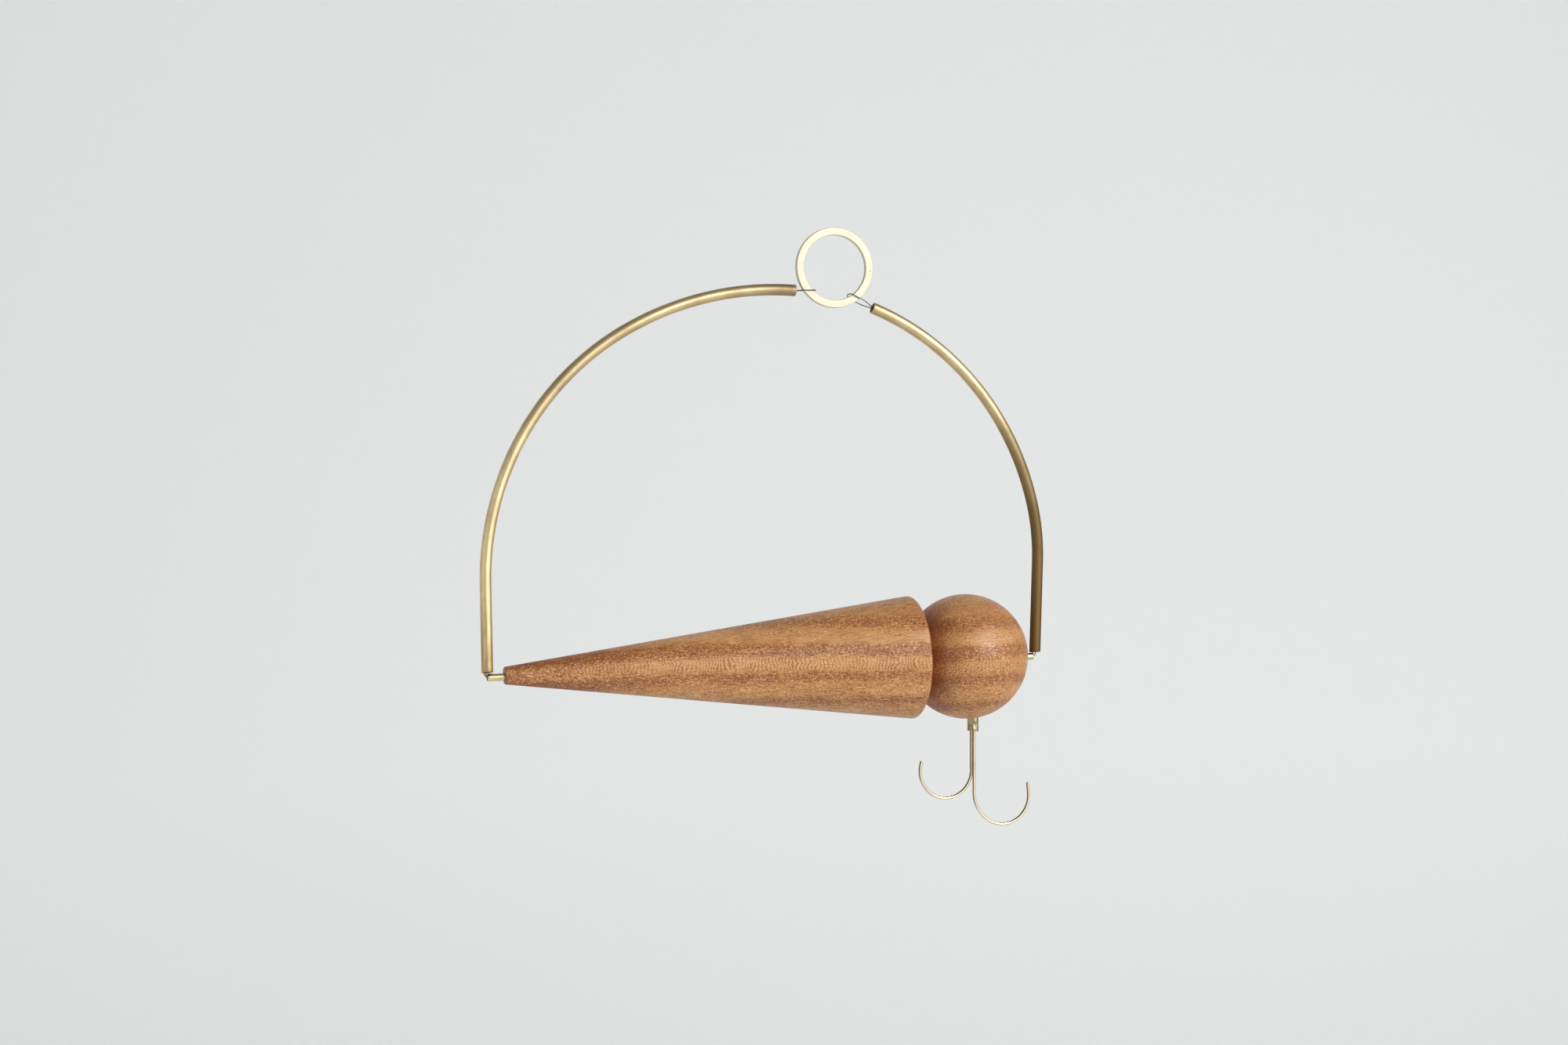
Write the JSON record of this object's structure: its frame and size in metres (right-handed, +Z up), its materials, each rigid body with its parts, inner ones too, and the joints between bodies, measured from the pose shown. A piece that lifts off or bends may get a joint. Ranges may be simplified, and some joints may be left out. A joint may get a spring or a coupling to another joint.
{
  "type": "hanging brass hoop ornament",
  "caption": "Hanging ornament: a turned wooden cone and ball on one axis, slung from a hoop of bent brass tubes that hangs by a flat ring, with brass hooks under the ball.",
  "frame": {"origin": "the top of the ring's eye, in the middle of the ring's thickness, where a hanging thread bears", "axes": "+Z up; the hoop, the bar and the ring lie in the X-Z plane, with the ball and its hooks on the +X side; +Y runs through the ring"},
  "size_m": [0.2405, 0.0518, 0.2477],
  "materials": {
    "ring_brass": "pale brushed brass",
    "tube_brass": "satin brass with a faint brown tarnish",
    "hook_brass": "drawn brass wire",
    "steel_wire": "grey steel wire",
    "wood": "turned hardwood, orange brown, lightly oiled, grain along the bar"
  },
  "bodies": {
    "root": {"cone": "wood", "ball": "wood", "tip_stub": "tube_brass", "end_stub": "tube_brass", "ring": "ring_brass", "arc_tube_left": "tube_brass", "arc_tube_right": "tube_brass", "ring_wire_left": "steel_wire", "ring_wire_right": "steel_wire", "tip_wire": "steel_wire", "end_wire": "steel_wire", "hook_ferrule": "hook_brass", "hook_left": "hook_brass", "hook_right": "hook_brass"}
  },
  "joints": []
}
